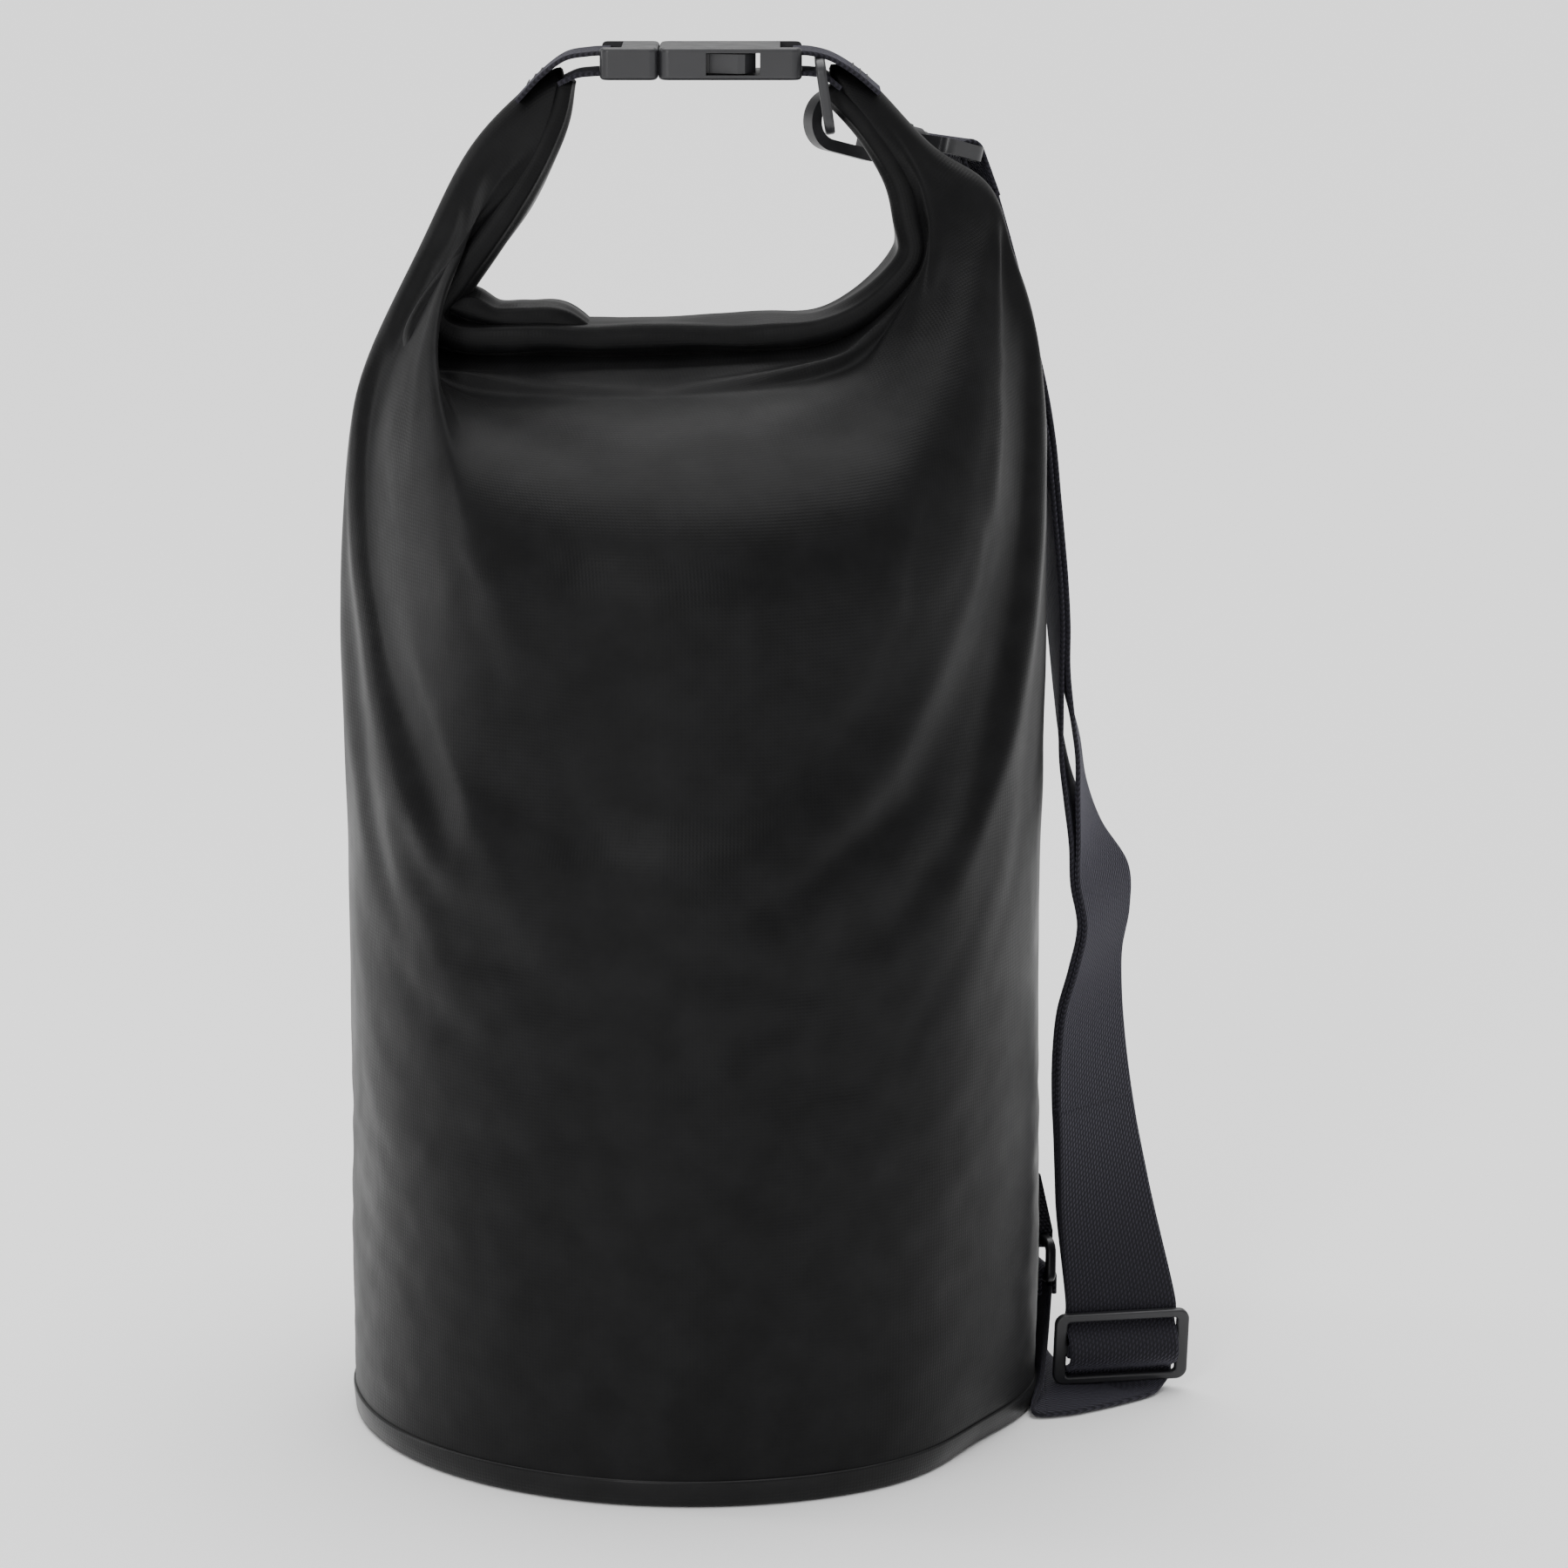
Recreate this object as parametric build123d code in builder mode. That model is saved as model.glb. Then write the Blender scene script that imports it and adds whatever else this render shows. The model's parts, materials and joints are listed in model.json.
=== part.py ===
"""Roll-top rope storage bag: a round waterproof fabric tube, a rolled collar whose ends buckle together
into a handle, and an adjustable shoulder strap from a snap hook at the handle to a ring low on the wall.

Millimetres. X runs to the right across the front, Y to the back and Z up. The origin is the centre of the
round base, on the ground.
"""
from build123d import *
from math import cos, radians, sin
import os

# ---- driving dimensions -----------------------------------------------------------------------------------
tube_radius = 120.0
fabric = 1.2  # coated fabric with its weld, as a solid sheet
wall_height = 300.0  # where the round wall starts to draw in to the neck
neck_height = 366.0
neck_half_length = 104.0
neck_half_depth = 5.2
base_upstand = 18.0

roll_low = 371.0  # underside of the rolled collar
roll_high = 383.0
roll_half_depth = 15.0
arm_top_half_depth = 8.5
roll_left = -76.0
roll_right = 46.0
stiffener_depth = 18.0
stiffener_thickness = 1.5

buckle_z = 468.5  # the middle of the closed buckle
buckle_half_width = 16.5
buckle_thickness = 10.8
male_end = -30.5
parting = -10.9  # where the two halves of the buckle meet
female_end = 37.0
web_bar = 3.3
web_bar_height = 5.0
web_slot = 4.0  # the slot beside a buckle's bar, along the handle
web_play = 1.5  # how much wider than its webbing a slot is
buckle_edge = 1.4  # softened edges of the buckle
blade_width = 3.6  # the guide blade between the prongs
blade_length = 17.2
handle_web_width = 25.0
handle_web = 1.6
rail_end = 5.0  # the side windows of the buckle start here
window_end = 23.0
cavity_half_width = 13.6
cavity_height = 7.4
prong_pivot_x = -12.5
prong_y = 11.3
prong_thickness = 3.4
prong_height = 6.4
web_slack = 0.2  # between a bar and the webbing turned round it
hinge_gap = 0.08  # radial clearance of every pin and pivot

strap_width = 38.0
strap_web = 1.8
wire = 3.4  # thickness of the moulded rings
ring_length = 22.0  # between the middles of a ring's two bars
hook_thickness = 5.5
eye_radius = 6.5
hook_wall = 4.0
slider_height = 27.0
slider_length = 48.5
slider_bar = 3.0

os.makedirs("parts", exist_ok=True)


def save(builder, name):
    """Label a finished piece and write it as its own STEP file."""
    builder.part.label = name
    export_step(builder.part, f"parts/{name}.step")


def webbing(stations, width, thickness):
    """A band of webbing through stations, each a point and the direction across the band there."""
    points = [Vector(point) for point, across in stations]
    last = len(points) - 1
    with BuildPart() as band:
        for index, (point, across) in enumerate(stations):
            heading = points[min(index + 1, last)] - points[max(index - 1, 0)]
            with BuildSketch(Plane(origin=point, x_dir=across, z_dir=heading)):
                Rectangle(width, thickness)
        loft(ruled=True)
    return band


def web_loop(plane, bar_half, bar_half_height, reach, width, thickness):
    """Webbing turned round a bar. In the plane, x runs along the band away from the bar's middle."""
    inner_half = bar_half_height + web_slack
    outer_half = inner_half + thickness
    back = -bar_half - web_slack
    turn = back - thickness
    with BuildPart() as loop:
        with BuildSketch(plane):
            with BuildLine():
                Polyline(
                    (reach, outer_half),
                    (turn + 1, outer_half),
                    (turn, outer_half - 1),
                    (turn, 1 - outer_half),
                    (turn + 1, -outer_half),
                    (reach, -outer_half),
                    (reach, -inner_half),
                    (back, -inner_half),
                    (back, inner_half),
                    (reach, inner_half),
                    close=True,
                )
            make_face()
        extrude(amount=width / 2, both=True)
    return loop


def moulded_ring(plane, length, width, corner):
    """A closed ring of square-ish bar with softened edges. The plane's origin is the top bar's middle."""
    with BuildPart() as ring:
        with BuildSketch(plane):
            with Locations((0, -length / 2)):
                RectangleRounded(width + wire, length + wire, corner + wire / 2)
                RectangleRounded(width - wire, length - wire, corner - wire / 2, mode=Mode.SUBTRACT)
        extrude(amount=wire / 2, both=True)
        fillet(ring.faces().filter_by(Plane(origin=plane.origin, z_dir=plane.z_dir)).edges(), wire * 0.28)
    return ring


# ---- the bag ----------------------------------------------------------------------------------------------
def tube_section(height, inset):
    """Half length and half depth of the bag's outline at a height, drawn in by inset."""
    outlines = {
        0.0: (tube_radius, tube_radius),
        wall_height: (tube_radius, tube_radius),
        neck_height - 21: (115.0, 84.0),
        neck_height - 9: (109.0, 13.0),
        neck_height: (neck_half_length, neck_half_depth),
    }
    half_length, half_depth = outlines[height]
    return half_length - inset, half_depth - inset


def tube_shell():
    """The welded fabric tube: round at the base, drawn in to a flat neck under the rolled collar."""
    heights = [0.0, wall_height, neck_height - 21, neck_height - 9, neck_height]
    with BuildPart() as shell:
        for inset, mode in ((0.0, Mode.ADD), (fabric, Mode.SUBTRACT)):
            for height in heights:
                with BuildSketch(Plane.XY.offset(height)):
                    Ellipse(*tube_section(height, inset))
            loft(ruled=True, mode=mode)
    return shell


def base_disc():
    """The round base with its turned-up edge, welded inside the foot of the tube."""
    disc_radius = tube_radius - fabric
    with BuildPart() as disc:
        with BuildSketch():
            Circle(disc_radius)
        extrude(amount=base_upstand)
        with BuildSketch(Plane.XY.offset(fabric)):
            Circle(disc_radius - fabric)
        extrude(amount=base_upstand, mode=Mode.SUBTRACT)
    return disc


save(tube_shell(), "tube_shell")
save(base_disc(), "base_disc")


# ---- rolled collar ----------------------------------------------------------------------------------------
def collar_roll():
    """The middle of the rolled mouth, lying across the neck, with a pocket for the two stiffeners."""
    middle = (roll_left + roll_right) / 2
    with BuildPart() as roll:
        with BuildSketch(Plane.YZ.offset(roll_left)):
            with Locations((0, (roll_low + roll_high) / 2)):
                SlotOverall(2 * roll_half_depth, roll_high - roll_low)
        extrude(amount=roll_right - roll_left)
        with BuildSketch(Plane.XY.offset((roll_low + roll_high) / 2 - stiffener_thickness)):
            with Locations((middle, 0)):
                Rectangle(roll_right - roll_left, stiffener_depth)
        extrude(amount=2 * stiffener_thickness, mode=Mode.SUBTRACT)
    return roll


def stiffener(low):
    """One of the two plastic strips welded along the bag's mouth, rolled up inside the collar."""
    middle = (roll_left + roll_right) / 2
    with BuildPart() as strip:
        with BuildSketch(Plane.XY.offset(low)):
            with Locations((middle, 0)):
                Rectangle(roll_right - roll_left, stiffener_depth)
        extrude(amount=stiffener_thickness)
    return strip


def collar_arm(outer, inner):
    """One end of the rolled collar, bent up and inwards. It is deep at its foot and narrow at its tip."""
    with BuildPart() as arm:
        with BuildSketch(Plane.XZ):
            with BuildLine():
                Spline(*outer)
                Line(outer[-1], inner[0])
                Polyline(*inner)
                Line(inner[-1], outer[0])
            make_face()
        extrude(amount=roll_half_depth, both=True)
        with BuildSketch(Plane.YZ):
            with BuildLine():
                Polyline(
                    (-roll_half_depth, roll_low),
                    (roll_half_depth, roll_low),
                    (arm_top_half_depth, buckle_z + 6),
                    (-arm_top_half_depth, buckle_z + 6),
                    close=True,
                )
            make_face()
        extrude(amount=tube_radius + 10, both=True, mode=Mode.INTERSECT)
    return arm


left_outer = [(-110, roll_low), (-94, 407), (-76, 442), (-44, 472.5)]
left_inner = [(-44, 462), (-47, 434), (-64, 407), (-76, 386), (roll_left, roll_low)]
right_outer = [(115, roll_low), (108, 407), (93, 436), (73, 456), (48, 474)]
right_inner = [(48, 462), (58, 444), (66, 419), (68, 405), (roll_right, roll_high), (roll_right, roll_low)]

roll_middle = (roll_low + roll_high) / 2
save(collar_roll(), "collar_roll")
save(stiffener(roll_middle - stiffener_thickness), "front_stiffener")
save(stiffener(roll_middle), "back_stiffener")
save(collar_arm(left_outer, left_inner), "collar_arm_left")
save(collar_arm(right_outer, right_inner), "collar_arm_right")


# ---- side-release buckle ----------------------------------------------------------------------------------
buckle_plane = Plane.XY.offset(buckle_z)


def buckle_female():
    """The socket half: a flat box open towards the other half, with a window each side for the barbs."""
    slot_near = female_end - web_bar - web_slot
    with BuildPart() as socket:
        with BuildSketch(buckle_plane):
            with Locations(((parting + female_end) / 2, 0)):
                RectangleRounded(female_end - parting, 2 * buckle_half_width, 3.5)
        extrude(amount=buckle_thickness / 2, both=True)
        fillet(socket.edges().filter_by(Plane.XY), buckle_edge)
        with BuildSketch(buckle_plane):
            with Locations(((parting + window_end) / 2, 0)):
                Rectangle(window_end + 4 - parting, 2 * cavity_half_width)
            with Locations(((rail_end + window_end) / 2, 0)):
                Rectangle(window_end - rail_end, 2 * buckle_half_width + 2)
        extrude(amount=cavity_height / 2, both=True, mode=Mode.SUBTRACT)
        with BuildSketch(buckle_plane):
            with Locations((slot_near + web_slot / 2, 0)):
                Rectangle(web_slot, handle_web_width + web_play)
        extrude(amount=buckle_thickness, both=True, mode=Mode.SUBTRACT)
        for side in (1, -1):
            with BuildSketch(Plane.XY.offset(buckle_z + side * web_bar_height / 2)):
                with Locations((female_end - web_bar / 2, 0)):
                    Rectangle(web_bar + 0.02, handle_web_width + web_play)
            extrude(amount=side * buckle_thickness, mode=Mode.SUBTRACT)
    return socket


def buckle_male():
    """The plug half: a block with a webbing bar, pockets for the two prongs and a guide blade between."""
    front = parting - 0.1
    slot_far = male_end + web_bar
    with BuildPart() as plug:
        with BuildSketch(buckle_plane):
            with Locations(((male_end + front) / 2, 0)):
                RectangleRounded(front - male_end, 2 * buckle_half_width, 3.0)
        extrude(amount=buckle_thickness / 2, both=True)
        fillet(plug.edges().filter_by(Plane.XY), buckle_edge)
        with BuildSketch(buckle_plane):
            with Locations((slot_far + web_slot / 2, 0)):
                Rectangle(web_slot, handle_web_width + web_play)
        extrude(amount=buckle_thickness, both=True, mode=Mode.SUBTRACT)
        for side in (1, -1):
            with BuildSketch(Plane.XY.offset(buckle_z + side * web_bar_height / 2)):
                with Locations((male_end + web_bar / 2, 0)):
                    Rectangle(web_bar + 0.02, handle_web_width + web_play)
            extrude(amount=side * buckle_thickness, mode=Mode.SUBTRACT)
        with BuildSketch(buckle_plane):
            with Locations((prong_pivot_x, prong_y), (prong_pivot_x, -prong_y)):
                Circle(prong_thickness / 2 + hinge_gap)
            with Locations((prong_pivot_x + 2, prong_y), (prong_pivot_x + 2, -prong_y)):
                Rectangle(4.0, prong_thickness + 2 * hinge_gap + 1.4)
        extrude(amount=prong_height / 2 + 0.2, both=True, mode=Mode.SUBTRACT)
        with BuildSketch(buckle_plane):
            with Locations((front + blade_length / 2 - 0.1, 0)):
                Rectangle(blade_length, blade_width)
        extrude(amount=prong_height / 2, both=True)
    return plug


def buckle_prong(side):
    """One springy side arm, rounded at its root, with a ramped barb that stands in the side window."""
    outer = prong_y + prong_thickness / 2
    inner = prong_y - prong_thickness / 2
    barb = outer + 2.6
    with BuildPart() as prong:
        with BuildSketch(buckle_plane):
            with Locations((prong_pivot_x, side * prong_y)):
                Circle(prong_thickness / 2)
            with BuildLine():
                Polyline(
                    (prong_pivot_x, side * inner),
                    (20.5, side * inner),
                    (21.5, side * (inner + 1)),
                    (21.5, side * (outer - 1)),
                    (18.0, side * barb),
                    (15.5, side * barb),
                    (6.0, side * outer),
                    (prong_pivot_x, side * outer),
                    close=True,
                )
            make_face()
        extrude(amount=prong_height / 2, both=True)
    return prong


save(buckle_female(), "buckle_female")
save(buckle_male(), "buckle_male")
save(buckle_prong(-1), "prong_front")
save(buckle_prong(1), "prong_back")

left_bar = Plane(origin=(male_end + web_bar / 2, 0, buckle_z), x_dir=(-1, 0, 0), z_dir=(0, 1, 0))
right_bar = Plane(origin=(female_end - web_bar / 2, 0, buckle_z), x_dir=(1, 0, 0), z_dir=(0, -1, 0))
for bar, reach, name in ((left_bar, 14.6, "left_webbing"), (right_bar, 12.6, "right_webbing")):
    save(web_loop(bar, web_bar / 2, web_bar_height / 2, reach, handle_web_width, handle_web), name)


# ---- upper ring and swivel snap hook ----------------------------------------------------------------------
ring_bar = Vector(43.0, 0, buckle_z)
ring_down = Vector(0.15, 0, -0.989).normalized()
ring_catch = ring_bar + ring_down * ring_length  # the lower bar, where the hook hangs
upper_ring_plane = Plane(origin=ring_bar, x_dir=(0, 1, 0), z_dir=Vector(0, 1, 0).cross(ring_down * -1))

hook_along = Vector(50, 33, -16).normalized()
hook_up = (Vector(0, 0, 1) - hook_along * hook_along.Z).normalized()
hook_across = hook_along.cross(hook_up)
hook_eye = ring_catch + Vector(0, 12.5, 0) + hook_along * 1.5 + hook_up * 1.0
hook_plane = Plane(origin=hook_eye, x_dir=hook_along, z_dir=hook_across)

eye_length = 13.0
gate_mouth = -1.8
gate_heel = 17.3
gate_pivot = (15.5, eye_radius + hook_wall / 2)
gate_thickness = 3.0
gate_tip = -1.3
shank_start = 31.0
shank_radius = 3.0
loop_start = shank_start + 0.4
loop_depth = 5.0
loop_length = 17.5
loop_web_bar = 4.5
loop_far_width = 4.2  # the far bar, which the strap turns round


def hook_body():
    """The hook: a long eye with a gap for the gate, tapering to a headed shank that turns in the loop."""
    outer = eye_radius + hook_wall
    with BuildPart() as hook:
        with BuildSketch(hook_plane):
            Circle(outer)
            with BuildLine():
                Polyline(
                    (0, outer),
                    (17.5, outer),
                    (24, outer * 0.62),
                    (shank_start, outer * 0.5),
                    (shank_start, -outer * 0.5),
                    (24, -outer * 0.75),
                    (eye_length + 4, -outer),
                    (0, -outer),
                    close=True,
                )
            make_face()
            Circle(eye_radius, mode=Mode.SUBTRACT)
            with Locations((eye_length / 2, 0)):
                Rectangle(eye_length, 2 * eye_radius, mode=Mode.SUBTRACT)
            with Locations(((gate_mouth + gate_heel) / 2, eye_radius + hook_wall / 2)):
                Rectangle(gate_heel - gate_mouth, hook_wall + 2.1, mode=Mode.SUBTRACT)
            with Locations((gate_heel - 3.2, eye_radius - 0.7)):
                Rectangle(4.0, 1.6, mode=Mode.SUBTRACT)
        extrude(amount=hook_thickness / 2, both=True)
        shank_plane = Plane(origin=hook_eye + hook_along * (shank_start - 1), z_dir=hook_along)
        with BuildSketch(shank_plane):
            Circle(shank_radius)
        extrude(amount=loop_web_bar + 3.0)
        with BuildSketch(shank_plane.offset(1.8 + loop_web_bar)):
            Circle(shank_radius + 1.3)
        extrude(amount=2.0)
    return hook


def hook_gate():
    """The sprung gate that closes the eye. It swings inwards about a rounded heel."""
    with BuildPart() as gate:
        with BuildSketch(hook_plane):
            with Locations(gate_pivot):
                Circle(gate_thickness / 2)
            with Locations(((gate_pivot[0] + gate_tip) / 2, gate_pivot[1])):
                Rectangle(gate_pivot[0] - gate_tip, gate_thickness)
        extrude(amount=hook_thickness / 2 - 0.6, both=True)
    return gate


def strap_loop():
    """The wide swivel loop that holds the strap, with a bored bar for the hook's shank."""
    half_width = strap_width / 2 + 4.6
    window = loop_length - loop_web_bar - loop_far_width
    plane = Plane(origin=hook_eye + hook_along * loop_start, x_dir=hook_along, z_dir=hook_up)
    with BuildPart() as loop:
        with BuildSketch(plane):
            with Locations((loop_length / 2, 0)):
                RectangleRounded(loop_length, 2 * half_width, 4.0)
            with Locations((loop_web_bar + window / 2, 0)):
                RectangleRounded(window, strap_width + 1.2, 1.0, mode=Mode.SUBTRACT)
        extrude(amount=loop_depth / 2, both=True)
        with BuildSketch(Plane(origin=plane.origin, z_dir=hook_along)):
            Circle(shank_radius + 2.0)
        extrude(amount=loop_web_bar)
        with BuildSketch(Plane(origin=plane.origin, z_dir=hook_along)):
            Circle(shank_radius + hinge_gap)
        extrude(amount=loop_web_bar, mode=Mode.SUBTRACT)
    return loop


save(moulded_ring(upper_ring_plane, ring_length, 38.0, 4.0), "upper_ring")
save(hook_body(), "hook_body")
save(hook_gate(), "hook_gate")
save(strap_loop(), "strap_loop")

# ---- lower ring on its patch ------------------------------------------------------------------------------
ring_azimuth = 17.0
outwards = Vector(cos(radians(ring_azimuth)), sin(radians(ring_azimuth)), 0)
along_wall = Vector(-outwards.Y, outwards.X, 0)
lower_ring_radius = tube_radius + 4.6
lower_ring_height = 50.0
lower_ring_length = 13.0
patch_thickness = 0.8
patch_half_width = 34.0
patch_low = 35.0
patch_high = 79.0
tab_half_width = 15.0


def lower_patch():
    """The reinforcing patch welded to the wall, curved to the tube."""
    middle = Vector(0, 0, (patch_low + patch_high) / 2)
    with BuildPart() as patch:
        with BuildSketch(Plane.XY.offset(patch_low)):
            Circle(tube_radius + patch_thickness)
            Circle(tube_radius, mode=Mode.SUBTRACT)
        extrude(amount=patch_high - patch_low)
        with BuildSketch(Plane(origin=middle, x_dir=along_wall, z_dir=outwards)):
            RectangleRounded(2 * patch_half_width, patch_high - patch_low, 8)
        extrude(amount=tube_radius + 10, mode=Mode.INTERSECT)
    return patch


def lower_ring_tab():
    """The sewn tab of webbing that holds the ring's upper bar against the patch."""
    skin = tube_radius + patch_thickness
    face = lower_ring_radius + 3.2
    with BuildPart() as tab:
        with BuildSketch(Plane(origin=(0, 0, lower_ring_height), x_dir=outwards, z_dir=along_wall * -1)):
            with BuildLine():
                Polyline(
                    (skin - 2, 24),
                    (skin + 2.2, 24),
                    (face, 3.0),
                    (face, -2.4),
                    (lower_ring_radius + 2, -3.4),
                    (skin - 2, -2.6),
                    close=True,
                )
            make_face()
            with Locations((lower_ring_radius, 0)):
                Circle(wire / 2 + 0.5, mode=Mode.SUBTRACT)
        extrude(amount=tab_half_width, both=True)
        with BuildSketch():
            Circle(skin)
        extrude(amount=wall_height, mode=Mode.SUBTRACT)
    return tab


lower_ring_bar = outwards * lower_ring_radius + Vector(0, 0, lower_ring_height)
lower_ring_plane = Plane(origin=lower_ring_bar, x_dir=along_wall, z_dir=outwards)
save(lower_patch(), "lower_patch")
save(lower_ring_tab(), "lower_ring_tab")
save(moulded_ring(lower_ring_plane, lower_ring_length, strap_width + 6.0, 3.0), "lower_ring")


# ---- shoulder strap ---------------------------------------------------------------------------------------
slider_middle = Vector(150.0, 2.0, 16.6)
slider_yaw = radians(10)
slider_lean = radians(8)
slider_across = Vector(cos(slider_yaw), sin(slider_yaw), 0)
slider_up = Vector(sin(slider_lean) * sin(slider_yaw), -sin(slider_lean) * cos(slider_yaw), cos(slider_lean))
slider_front = slider_across.cross(slider_up)
slider_plane = Plane(origin=slider_middle, x_dir=slider_across, z_dir=slider_front)
slot_height = (slider_height - 3 * slider_bar) / 2

loop_far_bar = hook_eye + hook_along * (loop_start + loop_length - loop_far_width / 2)
strap_down = Vector(31, -10, -85).normalized()
wrap_half = 3.4  # the strap loop's far bar, corner to corner
wrap_reach = 8.0
end_reach = 6.0

# Where the doubled strap hangs, from the snap hook down to the slider: its middle, the direction across it
# in degrees from X, and half the distance between the middles of its two layers.
strap_line = [
    ((loop_far_bar + strap_down * 15), 122, 3.7),
    ((104, 39.5, 388), 112, 2.2),
    ((119.5, 28, 345), 95, 1.6),
    ((124.0, 22, 306), 92, 1.6),
    ((128.5, 17, 262), 92, 1.6),
    ((131.5, 13, 222), 90, 2.6),
    ((136, 10, 190), 78, 1.8),
    ((138, 9, 165), 74, 1.5),
    ((138, 8, 139), 53, 1.5),
    ((141, 7, 89), 39, 1.5),
    ((146, 5.5, 52), 20, 1.6),
]


def strap_layer(side):
    """Stations of one layer of the doubled strap: side 1 is the outer layer and -1 the inner one."""
    middles = [Vector(point) for point, angle, half_gap in strap_line]
    stations = []
    for index, (point, angle, half_gap) in enumerate(strap_line):
        across = Vector(cos(radians(angle)), sin(radians(angle)), 0)
        heading = middles[min(index + 1, len(middles) - 1)] - middles[max(index - 1, 0)]
        face = heading.cross(across).normalized()
        stations.append(((middles[index] + face * side * half_gap), across))
    return stations


def through_slider(profile):
    """Stations at the slider, each given by its height along the slider and its distance in front."""
    return [
        ((slider_middle + slider_up * up + slider_front * front), slider_across)
        for up, front in profile
    ]


def strap_slider():
    """The flat adjuster: two slots with a middle bar that the strap's end is sewn round."""
    with BuildPart() as slider:
        with BuildSketch(slider_plane):
            RectangleRounded(slider_length, slider_height, 4.0)
            with Locations((0, (slot_height + slider_bar) / 2), (0, -(slot_height + slider_bar) / 2)):
                RectangleRounded(strap_width + 1.6, slot_height, 1.2, mode=Mode.SUBTRACT)
        extrude(amount=slider_bar / 2, both=True)
        fillet(slider.faces().filter_by(slider_plane).edges(), 0.9)
    return slider


over_wrap = slider_bar / 2 + web_slack + 2 * strap_web + 0.1
behind_bar = -(slider_bar / 2 + strap_web / 2 + 0.7)
outer_profile = [(17, behind_bar), (9.4, behind_bar), (3.2, over_wrap), (-3.2, over_wrap), (-9.4, behind_bar)]
outer_profile.append((-13.4, behind_bar))
under_wrap = -(slider_bar / 2 + web_slack + strap_web / 2)
inner_profile = [(17, behind_bar - 2.4), (9, behind_bar - 2.4), (2.8, under_wrap)]

main_layer = webbing(strap_layer(1) + through_slider(outer_profile), strap_width, strap_web)
return_layer = webbing(strap_layer(-1) + through_slider(inner_profile), strap_width, strap_web)

top_turn = strap_line[0][1]
top_across = Vector(cos(radians(top_turn)), sin(radians(top_turn)), 0)
top_wrap_plane = Plane(origin=loop_far_bar, x_dir=strap_down, z_dir=top_across)
slider_wrap_plane = Plane(origin=slider_middle, x_dir=slider_up, z_dir=slider_across)
end_wrap_plane = Plane(
    origin=lower_ring_bar - Vector(0, 0, lower_ring_length), x_dir=(0, 0, -1), z_dir=along_wall
)

# The lower run, down the wall from the ring and out along the ground: its distance from the axis and height.
run_profile = [
    (lower_ring_radius, lower_ring_height - lower_ring_length - end_reach - 0.3),
    (tube_radius + 5, 8),
    (tube_radius + 9, 1.4),
]
run_stations = [((outwards * radius + Vector(0, 0, height)), along_wall) for radius, height in run_profile]
run_stations += [((137, 37, 1.0), (-0.15, 0.99, 0)), ((150, 33, 1.0), (0.2, 0.98, 0))]
lower_run = webbing(run_stations, strap_width, strap_web)

save(strap_slider(), "strap_slider")
save(main_layer, "strap_main_layer")
save(return_layer, "strap_return_layer")
save(lower_run, "strap_lower_run")
save(web_loop(top_wrap_plane, wrap_half, wrap_half, wrap_reach, strap_width, strap_web), "strap_top_wrap")
save(
    web_loop(slider_wrap_plane, slider_bar / 2, slider_bar / 2, 2.4, strap_width, strap_web), "slider_wrap"
)
save(web_loop(end_wrap_plane, wire / 2, wire / 2, end_reach, strap_width, strap_web), "strap_end_wrap")
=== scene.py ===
"""The rope storage bag: its cloth, webbing and finishes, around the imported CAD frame. Metres."""
import json
import math

import bpy
import numpy as np
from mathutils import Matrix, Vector, noise

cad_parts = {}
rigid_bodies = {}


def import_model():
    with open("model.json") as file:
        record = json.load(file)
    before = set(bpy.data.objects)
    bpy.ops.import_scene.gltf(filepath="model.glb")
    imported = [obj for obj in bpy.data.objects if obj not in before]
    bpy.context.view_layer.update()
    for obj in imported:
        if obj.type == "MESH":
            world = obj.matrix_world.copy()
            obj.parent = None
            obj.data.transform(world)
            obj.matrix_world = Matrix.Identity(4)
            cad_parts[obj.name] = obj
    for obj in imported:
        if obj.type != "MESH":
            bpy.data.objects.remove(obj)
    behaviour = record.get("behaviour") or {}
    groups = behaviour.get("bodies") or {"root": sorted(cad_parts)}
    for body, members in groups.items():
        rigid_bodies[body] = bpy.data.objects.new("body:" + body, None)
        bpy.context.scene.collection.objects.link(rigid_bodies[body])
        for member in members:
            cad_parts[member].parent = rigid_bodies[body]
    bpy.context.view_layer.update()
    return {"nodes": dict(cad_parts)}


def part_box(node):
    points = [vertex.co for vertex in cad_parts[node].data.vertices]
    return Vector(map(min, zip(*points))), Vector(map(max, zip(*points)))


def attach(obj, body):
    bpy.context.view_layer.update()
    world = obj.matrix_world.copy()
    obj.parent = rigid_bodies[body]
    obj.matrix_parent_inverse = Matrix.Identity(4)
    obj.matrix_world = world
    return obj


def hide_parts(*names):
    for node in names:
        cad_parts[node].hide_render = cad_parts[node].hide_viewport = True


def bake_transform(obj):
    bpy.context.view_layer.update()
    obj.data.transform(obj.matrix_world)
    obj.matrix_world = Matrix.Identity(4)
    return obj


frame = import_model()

# ---- places read from the frame ----
TUBE_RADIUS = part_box("tube_shell")[1][0]
BUCKLE_Z = (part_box("buckle_female")[0][2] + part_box("buckle_female")[1][2]) / 2
RING_FOOT_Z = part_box("lower_ring")[0][2]

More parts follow.
